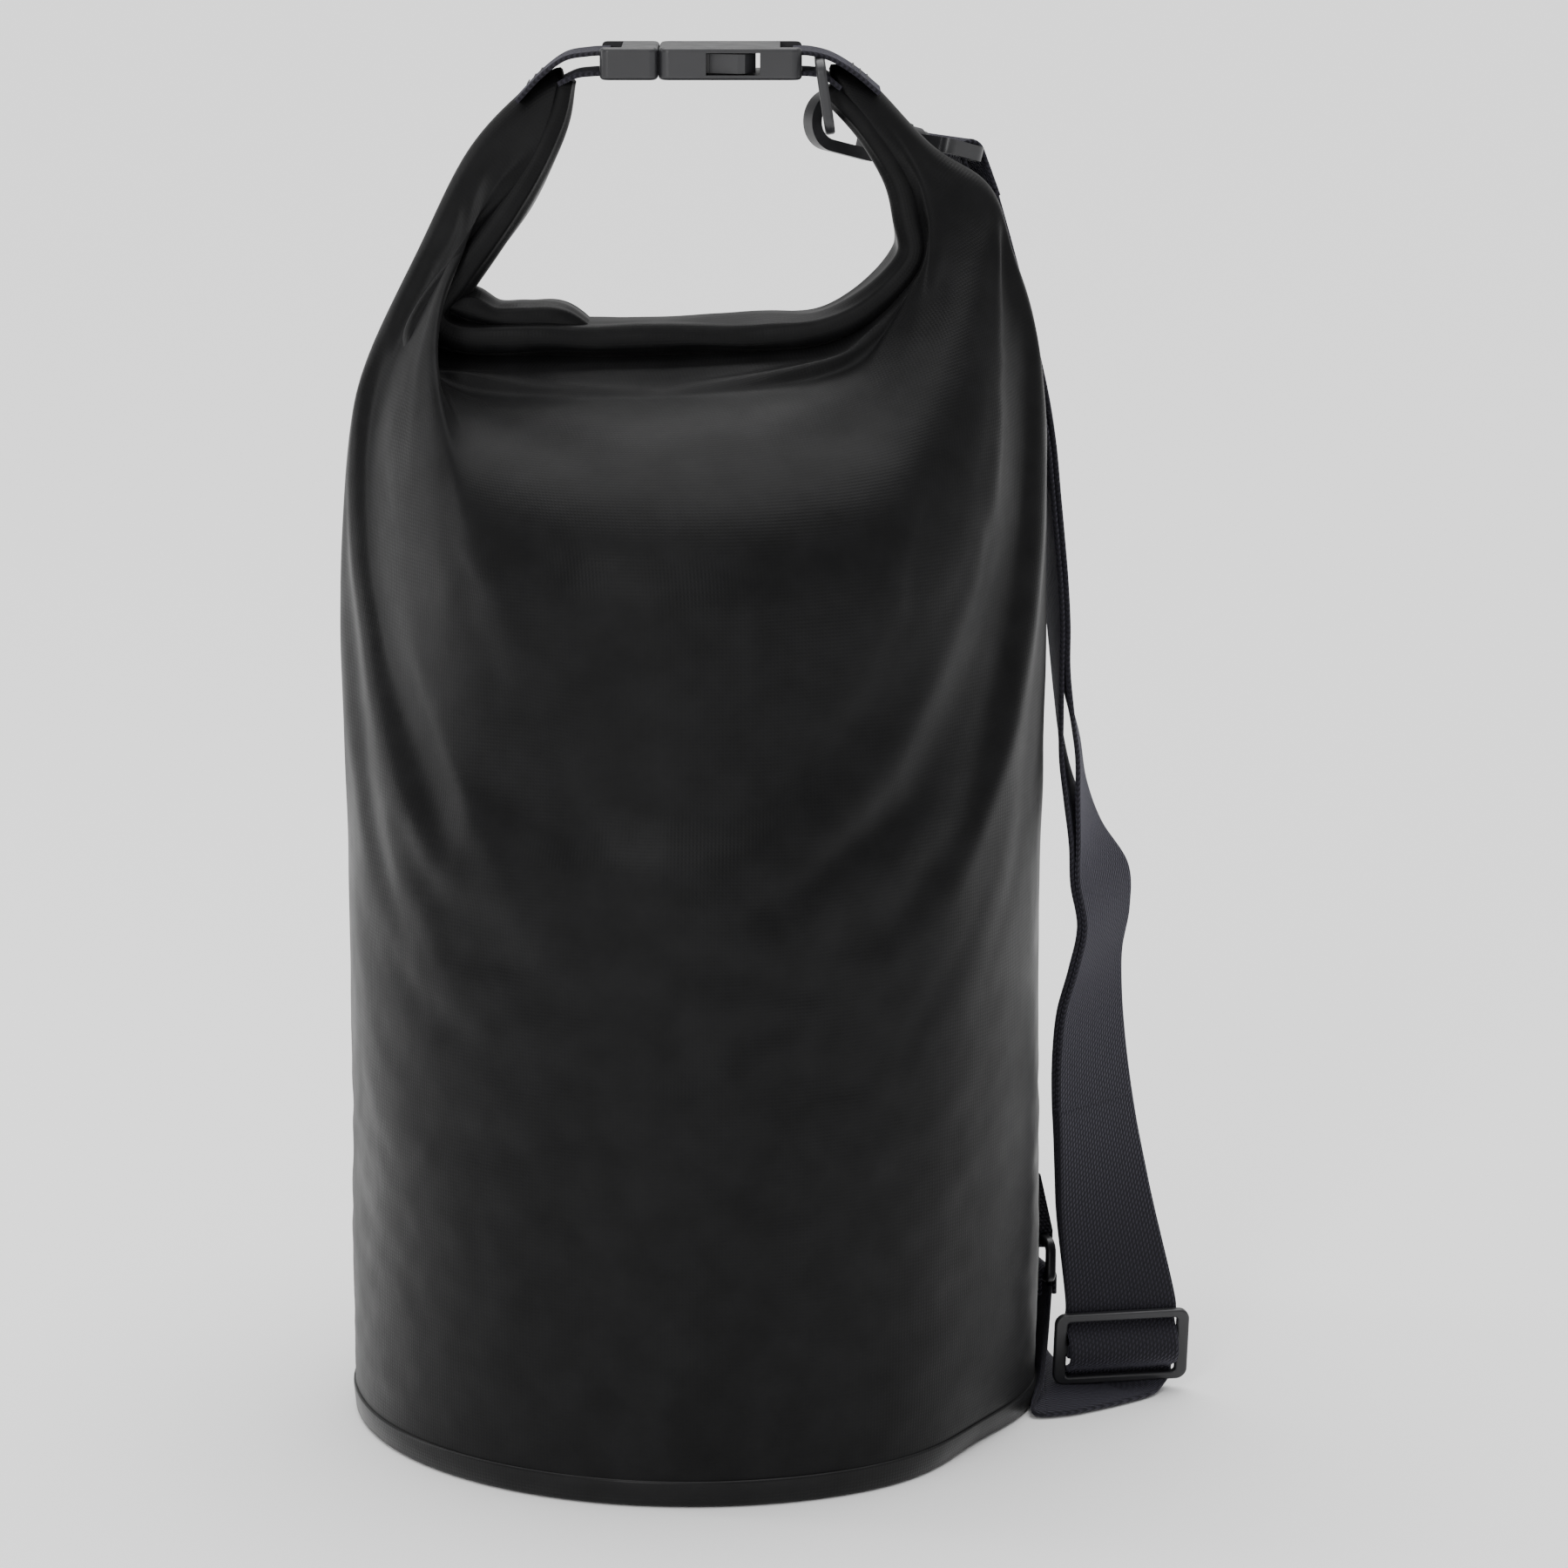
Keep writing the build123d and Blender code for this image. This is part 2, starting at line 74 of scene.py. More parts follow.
# ---- sizes of the soft pieces ----
SHOULDER_Z = 0.300  # the cloth starts to draw in here
ROUND = 144  # cloth points round the tube
WALL_ROWS = 46
SHOULDER_ROWS = 34
LINE_POINTS = 200  # points along the collar's lines
GATHER = 1.03  # how much wider the cloth is than the shape it is drawn into at the shoulders
MOST_SETTLING = 0.010  # the furthest the cloth moves from its draped shape
SETTLING_FRAMES = 24
FOOT_BAND = 0.009  # height of the welded band round the foot
STRAP_WIDTH = 0.038
STRAP_THICKNESS = 0.0018
HANDLE_WIDTH = 0.025
HANDLE_THICKNESS = 0.0016
STITCH_PITCH = 0.0028
STITCH_RADIUS = 0.00045


# ---- helpers ----
def unit(rows):
    return rows / np.linalg.norm(rows, axis=-1, keepdims=True)


def walked_along(places, start=0.0):
    """How far along the line each place is, from start."""
    spans = np.linalg.norm(np.diff(places, axis=0), axis=1)
    return start + np.concatenate([[0], np.cumsum(spans)])


def smooth_rows(knots, count):
    """count rows, evenly spaced, along a Catmull-Rom curve. The first three columns are the place."""
    rows = np.array(knots, float)
    rows = np.vstack([2 * rows[0] - rows[1], rows, 2 * rows[-1] - rows[-2]])
    t = np.linspace(0, 1, 24, endpoint=False)[:, None]
    fine = []
    for a, b, c, d in zip(rows, rows[1:], rows[2:], rows[3:]):
        square = (2 * a - 5 * b + 4 * c - d) * t**2
        cube = (3 * b - a - 3 * c + d) * t**3
        fine.append(0.5 * (2 * b + (c - a) * t + square + cube))
    fine = np.vstack(fine + [rows[-2:-1]])
    walked = walked_along(fine[:, :3])
    marks = np.linspace(0, walked[-1], count)
    return np.column_stack([np.interp(marks, walked, column) for column in fine.T])


def signed(angle):
    """The same angle, between half a turn either way."""
    return (angle + math.pi) % (2 * math.pi) - math.pi


def new_mesh(name, vertices, faces, material):
    mesh = bpy.data.meshes.new(name)
    mesh.from_pydata([tuple(v) for v in vertices], [], faces)
    mesh.validate()
    mesh.polygons.foreach_set("use_smooth", [True] * len(mesh.polygons))
    mesh.materials.append(material)
    obj = bpy.data.objects.new(name, mesh)
    bpy.context.scene.collection.objects.link(obj)
    return obj


def skin(name, rings, material, coords, capped=True):
    """A skin over rings of points. coords gives the weave's place, along and across, of every point."""
    rings = np.array(rings)
    rows, count = rings.shape[:2]
    faces = []
    for row in range(rows - 1):
        low = row * count
        for index in range(count):
            after = (index + 1) % count
            faces.append((low + index, low + after, low + count + after, low + count + index))
    if capped:
        faces.append(tuple(reversed(range(count))))
        faces.append(tuple(range((rows - 1) * count, rows * count)))
    obj = new_mesh(name, rings.reshape(-1, 3), faces, material)
    weave = obj.data.uv_layers.new(name="weave")
    corners = [loop.vertex_index for loop in obj.data.loops]
    weave.data.foreach_set("uv", np.array(coords, float).reshape(-1, 2)[corners].ravel())
    return obj


def apply_modifiers(obj):
    bpy.context.view_layer.objects.active = obj
    for modifier in list(obj.modifiers):
        bpy.ops.object.modifier_apply(modifier=modifier.name)


def split_off(obj, name, keep):
    """Move the faces whose points all satisfy keep into a new piece, which is returned."""
    mesh = obj.data
    inside = [keep(vertex.co) for vertex in mesh.vertices]
    chosen = [all(inside[v] for v in face.vertices) for face in mesh.polygons]
    bpy.context.tool_settings.mesh_select_mode = (False, False, True)
    mesh.vertices.foreach_set("select", [False] * len(mesh.vertices))
    mesh.edges.foreach_set("select", [False] * len(mesh.edges))
    mesh.polygons.foreach_set("select", chosen)
    bpy.ops.object.select_all(action="DESELECT")
    obj.select_set(True)
    bpy.context.view_layer.objects.active = obj
    known = set(bpy.data.objects)
    bpy.ops.object.mode_set(mode="EDIT")
    bpy.ops.mesh.separate(type="SELECTED")
    bpy.ops.object.mode_set(mode="OBJECT")
    piece = (set(bpy.data.objects) - known).pop()
    piece.name = name
    return piece


# The section of a band of webbing: across it, and out from its middle, as parts of its half sizes. The woven
# edges stand a little thicker than the middle.
BAND_SECTION = [(-1, 0.3), (-0.985, 0.85), (-0.94, 1), (-0.88, 0.88), (0, 0.88)]
BAND_SECTION += [(0.88, 0.88), (0.94, 1), (0.985, 0.85), (1, 0.3)]


def band(name, one_edge, other_edge, thickness, material, start=0.0):
    """Webbing between two edges, each a row of places. Returns the piece."""
    middles = (one_edge + other_edge) / 2
    half = (other_edge - one_edge) / 2
    heading = unit(np.gradient(middles, axis=0))
    face = unit(np.cross(heading, half))
    width = 2 * np.linalg.norm(half, axis=1).max()
    section = BAND_SECTION + [(a, -o) for a, o in reversed(BAND_SECTION)]
    rings = []
    coords = []
    for middle, side, out, along in zip(middles, half, face, walked_along(middles, start)):
        rings.append([middle + side * a + out * o * thickness / 2 for a, o in section])
        coords.append([(along, a * width / 2) for a, o in section])
    return skin(name, rings, material, coords)


def stitches(name, lines, material):
    """Rows of raised thread stitches, each line a pair of end points and the way out of the cloth."""
    vertices = []
    faces = []
    for first, last, out in lines:
        first, last, out = Vector(first), Vector(last), Vector(out).normalized()
        along = (last - first).normalized()
        side = along.cross(out) * STITCH_RADIUS
        reach = along * STITCH_PITCH * 0.42
        for number in range(int((last - first).length / STITCH_PITCH)):
            middle = first + along * (number + 0.5) * STITCH_PITCH
            base = len(vertices)
            top = middle + out * STITCH_RADIUS
            vertices += [middle - reach, middle + side, top, middle - side, middle + reach]
            faces += [(base, base + 1, base + 2), (base, base + 2, base + 3)]
            faces += [(base + 4, base + 2, base + 1), (base + 4, base + 3, base + 2)]
    return new_mesh(name, vertices, faces, material)


def tack_lines(middle, along, across, out, width, steps):
    """Lines of stitches across a band, at the given distances along it."""
    lines = []
    for step in steps:
        place = middle + along * step + out
        lines.append((place - across * width / 2, place + across * width / 2, out))
    return lines


# ---- materials ----
class Shader:
    """A node tree being built: each call adds one node and links or sets its inputs."""

    def __init__(self, name, color, roughness, specular):
        self.material = bpy.data.materials.new(name)
        self.material.use_nodes = True
        self.tree = self.material.node_tree
        self.bsdf = self.tree.nodes["Principled BSDF"]
        self.bsdf.inputs["Base Color"].default_value = (*color, 1)
        self.bsdf.inputs["Roughness"].default_value = roughness
        self.bsdf.inputs["Specular IOR Level"].default_value = specular
        self.place = self.tree.nodes.new("ShaderNodeTexCoord").outputs["Object"]

    def node(self, kind, settings=None, **inputs):
        """A node. An input is named by its socket, or by i and its number."""
        made = self.tree.nodes.new(kind)
        for key, value in (settings or {}).items():
            setattr(made, key, value)
        for key, value in inputs.items():
            socket = made.inputs[int(key[1:])] if key[1:].isdigit() else made.inputs[key]
            if isinstance(value, bpy.types.NodeSocket):
                self.tree.links.new(value, socket)
            else:
                socket.default_value = value
        return made

    def noise(self, scale, detail):
        return self.node("ShaderNodeTexNoise", Vector=self.place, Scale=scale, Detail=detail).outputs["Fac"]

    def weave(self, direction, scale, distortion=0.0, place=None):
        """Stripes of thread along the piece's own weave map, or along the given coordinates."""
        place = place or self.node("ShaderNodeUVMap", {"uv_map": "weave"}).outputs["UV"]
        stripes = {"bands_direction": direction}
        made = self.node("ShaderNodeTexWave", stripes, Vector=place, Scale=scale, Distortion=distortion)
        return made.outputs["Fac"]

    def spread(self, value, low, high):
        """A noise value spread from low to high."""
        return self.node("ShaderNodeMapRange", i0=value, i1=0.3, i2=0.7, i3=low, i4=high).outputs[0]

    def multiply(self, a, b):
        return self.node("ShaderNodeMath", {"operation": "MULTIPLY"}, i0=a, i1=b).outputs[0]

    def tint(self, factor, dark, light):
        """The base colour, from dark to light."""
        made = self.node("ShaderNodeMix", {"data_type": "RGBA"}, i0=factor)
        made.inputs[6].default_value = (*dark, 1)
        made.inputs[7].default_value = (*light, 1)
        self.link(made.outputs[2], "Base Color")

    def bump(self, height, strength, distance, normal=None):
        made = self.node("ShaderNodeBump", Height=height, Strength=strength, Distance=distance)
        if normal:
            self.tree.links.new(normal, made.inputs["Normal"])
        return made.outputs["Normal"]

    def sheen(self, weight, roughness, tint=(1, 1, 1)):
        self.bsdf.inputs["Sheen Weight"].default_value = weight
        self.bsdf.inputs["Sheen Roughness"].default_value = roughness
        self.bsdf.inputs["Sheen Tint"].default_value = (*tint, 1)

    def link(self, output, name):
        self.tree.links.new(output, self.bsdf.inputs[name])


def coated_fabric(name, roughness, specular):
    """Black vinyl-coated cloth: the base weave shows faintly through the coating, with soft scuffs."""
    s = Shader(name, (0.0035, 0.0035, 0.0038), roughness, specular)
    s.link(s.spread(s.noise(26, 6), roughness - 0.06, roughness + 0.08), "Roughness")
    s.tint(s.spread(s.noise(70, 5), 0.0, 1.0), (0.0026, 0.0026, 0.0028), (0.0058, 0.0058, 0.0062))
    grid = s.multiply(s.weave("X", 262.0), s.weave("Y", 262.0))
    weave = s.bump(grid, 0.16, 0.0003)
    grain = s.bump(s.noise(1400, 2), 0.10, 0.0002, weave)
    s.link(s.bump(s.noise(85, 4), 0.16, 0.0012, grain), "Normal")
    s.sheen(0.02, 0.45)
    return s.material


def webbing_material(name, mapped=True):
    """Woven polyester webbing, a diagonal twill. Unmapped, its weave follows the object's axes."""
    s = Shader(name, (0.012, 0.0115, 0.015), 0.82, 0.2)
    place = None if mapped else s.place
    ribs = s.weave("DIAGONAL", 330.0, 0.4, place)
    picks = s.weave("Y" if mapped else "Z", 240.0, 0.0, place)
    twill = s.multiply(ribs, picks)
    s.tint(twill, (0.0065, 0.0062, 0.0085), (0.021, 0.0195, 0.027))
    fuzz = s.bump(s.noise(1800, 2), 0.25, 0.0002)
    s.link(s.bump(twill, 0.8, 0.0006, fuzz), "Normal")
    s.sheen(0.12, 0.5, (0.8, 0.78, 1.0))
    return s.material


def moulded_plastic():
    """Dark grey acetal with a fine spark-eroded grain and slightly shinier rubbed places."""
    s = Shader("moulded_plastic", (0.016, 0.016, 0.0175), 0.38, 0.45)
    s.link(s.spread(s.noise(120, 4), 0.3, 0.46), "Roughness")
    s.tint(s.noise(40, 3), (0.011, 0.011, 0.0125), (0.024, 0.024, 0.0265))
    grain = s.bump(s.noise(2600, 2), 0.12, 0.0002)
    s.link(s.bump(s.noise(90, 3), 0.1, 0.0006, grain), "Normal")
    return s.material


def thread_material():
    """Bonded black thread, unevenly dark and rough."""
    s = Shader("thread", (0.016, 0.016, 0.019), 0.55, 0.35)
    s.tint(s.noise(900, 2), (0.010, 0.010, 0.012), (0.024, 0.023, 0.028))
    s.link(s.bump(s.noise(3000, 2), 0.3, 0.0002), "Normal")
    return s.material


FABRIC = coated_fabric("coated_fabric", 0.43, 0.11)
WELD = coated_fabric("welded_fabric", 0.33, 0.18)
WEBBING = webbing_material("webbing")
TAB_WEBBING = webbing_material("tab_webbing", mapped=False)
PLASTIC = moulded_plastic()
THREAD = thread_material()


# ---- camera and light ----
def camera():
    """The camera, a little above the handle and looking slightly down at the bag."""
    data = bpy.data.cameras.new("camera")
    data.lens = 125.8
    data.sensor_width = 36
    obj = bpy.data.objects.new("camera", data)
    obj.location = (0.031, -1.85, 0.615)
    obj.rotation_euler = (math.radians(90 - 12.05), 0, 0)
    bpy.context.scene.collection.objects.link(obj)
    bpy.context.scene.camera = obj


def area_light(name, place, target, size, size_y, power):
    data = bpy.data.lights.new(name, "AREA")
    data.shape = "RECTANGLE"
    data.size = size
    data.size_y = size_y
    data.energy = power
    obj = bpy.data.objects.new(name, data)
    obj.location = place
    obj.rotation_euler = (Vector(target) - Vector(place)).to_track_quat("-Z", "Y").to_euler()
    bpy.context.scene.collection.objects.link(obj)


def sky_light():
    """Wide, soft light from above and a little in front."""
    data = bpy.data.lights.new("sky", "SUN")
    data.energy = 3.4
    data.angle = math.radians(70)
    obj = bpy.data.objects.new("sky", data)
    obj.rotation_euler = (math.radians(-14), 0, 0)
    bpy.context.scene.collection.objects.link(obj)


def white_world():
    world = bpy.data.worlds.new("studio")
    world.use_nodes = True
    background = world.node_tree.nodes["Background"]
    background.inputs["Color"].default_value = (1, 1, 1, 1)
    background.inputs["Strength"].default_value = 0.7
    bpy.context.scene.world = world


def studio():
    """A pale floor and soft light from above, with a broad panel in front and a strip at the left."""
    white_world()
    paper = Shader("floor_paper", (0.93, 0.93, 0.93), 0.9, 0.1).material
    reach = 30
    corners = [(-reach, -reach, 0), (reach, -reach, 0), (reach, reach, 0), (-reach, reach, 0)]
    floor = new_mesh("floor", corners, [(0, 1, 2, 3)], paper)
    floor.location.z = -0.0005
    sky_light()
    area_light("front_panel", (-0.75, -2.2, 1.3), (-0.05, 0, 0.25), 0.45, 1.8, 20)
    area_light("left_strip", (-1.5, 0.25, 0.6), (0, 0, 0.25), 0.25, 1.4, 6)


# ---- the lines of the closed top, each from the left tip to the right one ----
# Where the cloth runs into the rolled collar: X, half the distance between the front and the back cloth,
# and Z.
COLLAR_LINE = [
    (-0.0435, 0.0060, 0.4690), (-0.0420, 0.0090, 0.4500), (-0.0570, 0.0115, 0.4285),
    (-0.0750, 0.0135, 0.4100), (-0.0925, 0.0150, 0.3890), (-0.0985, 0.0155, 0.3745),
    (-0.0880, 0.0160, 0.3672), (-0.0500, 0.0160, 0.3668), (0.0000, 0.0160, 0.3680),
    (0.0380, 0.0160, 0.3710), (0.0560, 0.0155, 0.3770), (0.0765, 0.0140, 0.3995),
    (0.0765, 0.0125, 0.4140), (0.0725, 0.0115, 0.4275), (0.0630, 0.0100, 0.4420),
    (0.0500, 0.0080, 0.4575), (0.0450, 0.0060, 0.4700),
]
# The middle of the roll: X, Y, Z, how deep it is from front to back, and how thick.
ROLL = [
    (-0.0425, 0, 0.4625, 0.016, 0.0070), (-0.0455, 0, 0.4480, 0.019, 0.0085),
    (-0.0545, 0, 0.4300, 0.024, 0.0105), (-0.0695, 0, 0.4090, 0.028, 0.0125),
    (-0.0805, 0, 0.3950, 0.030, 0.0135), (-0.0870, 0, 0.3835, 0.0305, 0.0135),
    (-0.0760, 0, 0.3765, 0.0305, 0.0125), (-0.0450, 0, 0.3757, 0.0305, 0.0120),
    (-0.0100, 0, 0.3760, 0.0305, 0.0120), (0.0250, 0, 0.3770, 0.0305, 0.0120),
    (0.0450, 0, 0.3790, 0.0305, 0.0120), (0.0620, 0, 0.3885, 0.030, 0.0125),
    (0.0745, 0, 0.4030, 0.0285, 0.0130), (0.0735, 0, 0.4170, 0.026, 0.0120),
    (0.0695, 0, 0.4300, 0.023, 0.0110), (0.0600, 0, 0.4440, 0.020, 0.0095),
    (0.0462, 0, 0.4600, 0.016, 0.0075),
]
# The fold of spare cloth pushed up where the roll turns into its left arm, in the same terms.
BUNCH = [
    (-0.0830, 0, 0.3880, 0.028, 0.0060), (-0.0750, 0, 0.3870, 0.027, 0.0120),
    (-0.0660, 0, 0.3835, 0.026, 0.0085), (-0.0560, 0, 0.3825, 0.025, 0.0098),
    (-0.0460, 0, 0.3822, 0.024, 0.0110), (-0.0390, 0, 0.3800, 0.022, 0.0085),
    (-0.0315, 0, 0.3765, 0.018, 0.0020),
]
# The folded sides of the tube, each from the shoulder to a tip of the collar.
LEFT_FOLD = [(-0.120, 0, 0.300), (-0.1165, 0, 0.347), (-0.110, 0, 0.371), (-0.093, 0, 0.407)]
LEFT_FOLD += [(-0.0760, 0, 0.442), (-0.055, 0, 0.4645), (-0.0440, 0, 0.4712)]
RIGHT_FOLD = [(0.120, 0, 0.300), (0.1205, 0, 0.347), (0.116, 0, 0.383), (0.1085, 0, 0.407)]
RIGHT_FOLD += [(0.101, 0, 0.430), (0.082, 0, 0.4425), (0.0605, 0, 0.4660), (0.0465, 0, 0.4725)]


# ---- the tube's cloth ----
def foot_radius(angle, height):
    """The bag's radius near the ground: a slightly rounded edge, pushed in at the front right."""
    push = 0.0085 * math.exp(-(((angle + 0.52) / 0.30) ** 2)) * max(0.0, 1 - height / 0.045) ** 1.4
    rounding = 0.0009 * max(0.0, 1 - height / 0.004) ** 2
    return TUBE_RADIUS - push - rounding


def read_round(line, angles):
    """A line from the left tip to the right one, read at angles round the tube, which meets both tips."""
    place = (1 - np.abs(angles) / math.pi) * (len(line) - 1)
    return np.column_stack([np.interp(place, np.arange(len(line)), column) for column in line.T])


def wall_rows(angles):
    """The standing wall, in rows that are closer together near the ground."""
    rows = []
    for number in range(WALL_ROWS):
        height = SHOULDER_Z * (number / WALL_ROWS) ** 1.15
        radii = np.array([foot_radius(angle, height) for angle in angles])
        rows.append(np.column_stack([np.cos(angles) * radii, np.sin(angles) * radii, angles * 0 + height]))
    return rows


def shoulder_rows(angles, low, top):
    """Rows from the wall's top to the collar: front and back curve over, and the sides follow the folds."""
    left = smooth_rows(LEFT_FOLD, SHOULDER_ROWS + 1)
    right = smooth_rows(RIGHT_FOLD, SHOULDER_ROWS + 1)
    at_left = np.cos(angles)[:, None] < 0
    foot = np.where(at_left, left[0], right[0])
    tip = np.where(at_left, left[-1], right[-1])
    on_fold = np.abs(np.cos(angles))[:, None] ** 9
    rows = []
    for number in range(SHOULDER_ROWS + 1):
        t = number / SHOULDER_ROWS
        drawn = 1 - math.cos(t * math.pi / 2)
        risen = math.sin(t * math.pi / 2) ** 0.92
        open_cloth = low + (top - low) * np.array([drawn, drawn, risen])
        fold = np.where(at_left, left[number], right[number])
        folded = fold + (low - foot) * (1 - t) ** 1.5 + (top - tip) * t**1.5
        rows.append(open_cloth + (folded - open_cloth) * on_fold)
    return rows


def draped_tube(angles):
    """The bag's shape before it settles, as rows of places from the ground up and on into the roll."""
    top = read_round(smooth_rows(COLLAR_LINE, LINE_POINTS), angles)
    top[:, 1] *= np.sign(np.sin(angles)) * (np.abs(np.sin(angles)) > 1e-6)
    low = np.column_stack([np.cos(angles), np.sin(angles), angles * 0]) * TUBE_RADIUS
    low[:, 2] = SHOULDER_Z
    rows = wall_rows(angles) + shoulder_rows(angles, low, top)
    edge = rows[-1]
    inside = read_round(smooth_rows(ROLL, LINE_POINTS)[:, :3], angles)
    rows += [edge + (inside - edge) * part for part in (0.5, 0.85)]
    return np.array(rows)


def add_cut(tube, rows, heights, angles):
    """A shape key with the cloth's own widths, as plain rings, for the cloth to take as its resting size."""
    tube.shape_key_add(name="Basis")
    cut = tube.shape_key_add(name="cut")
    girths = np.linalg.norm(rows - np.roll(rows, 1, axis=1), axis=2).sum(axis=1)
    for row, girth in enumerate(girths):
        radius = min(TUBE_RADIUS, GATHER * girth / (2 * math.pi))
        for index, angle in enumerate(angles):
            flat = (radius * math.cos(angle), radius * math.sin(angle), heights[row, index])
            cut.data[row * ROUND + index].co = flat
    return cut


def add_hold(tube, count, angles):
    """Hold the foot and the collar fast, the folds nearly so, and the wall less and less with height."""
    held = tube.vertex_groups.new(name="held")
    for row in range(count):
        at_end = row < 3 or row > count - 5
        on_wall = 0.6 * max(0.0, 1 - row / (WALL_ROWS * 1.15))
        for index, angle in enumerate(angles):
            on_fold = abs(math.cos(angle)) > 0.996 and row > WALL_ROWS
            weight = 1.0 if at_end else 0.9 if on_fold else on_wall
            if weight:
                held.add([row * ROUND + index], weight, "REPLACE")


CLOTH = {
    "pin_stiffness": 1.0,
    "quality": 6,
    "mass": 0.3,
    "tension_stiffness": 40,
    "compression_stiffness": 40,
    "shear_stiffness": 12,
    "bending_stiffness": 1.6,
    "tension_damping": 12,
    "compression_damping": 12,
    "shear_damping": 8,
    "bending_damping": 1.5,
    "air_damping": 4,
    "use_pressure": True,
    "uniform_pressure_force": 3.2,
}


def add_cloth(tube, cut):
    modifier = tube.modifiers.new("cloth", "CLOTH")
    modifier.settings.rest_shape_key = cut
    modifier.settings.vertex_group_mass = "held"
    for key, value in CLOTH.items():
        setattr(modifier.settings, key, value)
    modifier.collision_settings.use_collision = False
    modifier.collision_settings.use_self_collision = False
    modifier.point_cache.frame_start = 1
    modifier.point_cache.frame_end = SETTLING_FRAMES
    return modifier


def settle(tube, rows, heights, angles):
    """Let the cloth settle under its own weight and the push of the rope inside, and keep the result."""
    cut = add_cut(tube, rows, heights, angles)
    add_hold(tube, len(rows), angles)
    modifier = add_cloth(tube, cut)
    scene = bpy.context.scene
    scene.frame_start = 1
    scene.frame_end = SETTLING_FRAMES
    for number in range(1, SETTLING_FRAMES + 1):
        scene.frame_set(number)
    settled = tube.evaluated_get(bpy.context.evaluated_depsgraph_get())
    places = [vertex.co.copy() for vertex in settled.data.vertices]
    tube.modifiers.remove(modifier)
    tube.shape_key_clear()
    for vertex, place in zip(tube.data.vertices, places):
        move = place - vertex.co
        if move.length > 1e-6:
            vertex.co += move * (MOST_SETTLING * math.tanh(move.length / MOST_SETTLING) / move.length)
    scene.frame_set(1)


def dent(tube):
    """Shallow dents and ripples, which fade out at the foot and at the closed top."""
    for vertex in tube.data.vertices:
        soft = min(1.0, vertex.co.z / 0.05) * max(0.0, 1 - max(0.0, vertex.co.z - 0.33) / 0.04)
        out = Vector((vertex.co.x, vertex.co.y, 0)).normalized()
        dents = noise.noise(vertex.co * Vector((17, 17, 9))) * 0.0016 + noise.noise(vertex.co * 38) * 0.0004
        vertex.co += out * dents * soft


def cloth_tube():
    """The fabric tube, settled from its draped shape."""
    angles = math.pi * (2 * np.arange(ROUND) / ROUND - 1)
    rows = draped_tube(angles)
    rises = np.linalg.norm(np.diff(rows, axis=0), axis=2)
    heights = np.concatenate([np.zeros((1, ROUND)), np.cumsum(rises, axis=0)])
    coords = np.stack([heights, np.broadcast_to(angles * TUBE_RADIUS, heights.shape)], axis=-1)
    tube = skin("tube_cloth", rows, FABRIC, coords, capped=False)
    settle(tube, rows, heights, angles)
    finer = tube.modifiers.new("finer", "SUBSURF")
    finer.levels = 1
    finer.render_levels = 1
    apply_modifiers(tube)
    dent(tube)
    return tube


# ---- the rolled collar ----
def rolled(name, knots, count, ridges, seed):
    """Turns of cloth pressed flat and swept along a line, with lengthwise ridges and pressed-in creases."""
    rows = smooth_rows(knots, count)
    places = rows[:, :3]
    heading = unit(np.gradient(places, axis=0))
    across = np.array([0.0, 1.0, 0.0])
    girth = 0.075
    points = 60
    rings = []
    coords = []
    for place, ahead, along, row in zip(places, heading, walked_along(places), rows):
        out = np.cross(ahead, across)
        ring = []
        for index in range(points):
            angle = 2 * math.pi * index / points
            c, s = math.cos(angle), math.sin(angle)
            a = math.copysign(abs(c) ** 0.6, c) * row[3] / 2
            o = math.copysign(abs(s) ** 0.8, s) * row[4] / 2
            turn = 6 * noise.noise(Vector((along * 9, seed, 0)))
            ridge = ridges * math.cos(7 * angle + turn) * (0.5 + 0.5 * abs(c))
            pressed = 0.0013 * noise.noise(Vector((along * 42, a * 55, o * 70 + seed)))
            ring.append(place + across * a * (1 + pressed * 30) + out * (o * (1 + ridge) + pressed))
        rings.append(ring)
        coords.append([(along, index / points * girth) for index in range(points)])
    return skin(name, rings, FABRIC, coords)


# ---- the foot, the base and the weld up the back ----
def foot_band():
    """The narrow band welded round the foot, over the joint of the tube and the base."""
    profile = [(0.0002, 0.0), (0.0006, 0.0008), (0.0007, FOOT_BAND - 0.0010), (0.0004, FOOT_BAND)]
    profile += [(-0.0006, FOOT_BAND), (-0.0006, 0.0)]
    girth = 0.75
    count = 240
    rings = []
    coords = []
    for index in range(count + 1):
        angle = 2 * math.pi * index / count
        ring = []
        for out, height in profile:
            radius = foot_radius(signed(angle), height) + out
            ring.append((radius * math.cos(angle), radius * math.sin(angle), height))
        rings.append(ring)
        coords.append([(index / count * girth, height) for out, height in profile])
    return skin("foot_band", rings, WELD, coords, capped=False)


def base_sheet():
    """The round base, pressed in with the wall at the front right."""
    count = 144
    rings = []
    coords = []
    for part in (0.02, 0.35, 0.7, 0.92, 0.985, 1.0):
        ring = []
        for index in range(count):
            angle = 2 * math.pi * index / count
            radius = (foot_radius(signed(angle), 0.0) - 0.0003) * part
            ring.append((radius * math.cos(angle), radius * math.sin(angle), 0.0004))
        rings.append(ring)
        coords.append([(x, y) for x, y, z in ring])
    return skin("base_sheet", rings, WELD, coords)


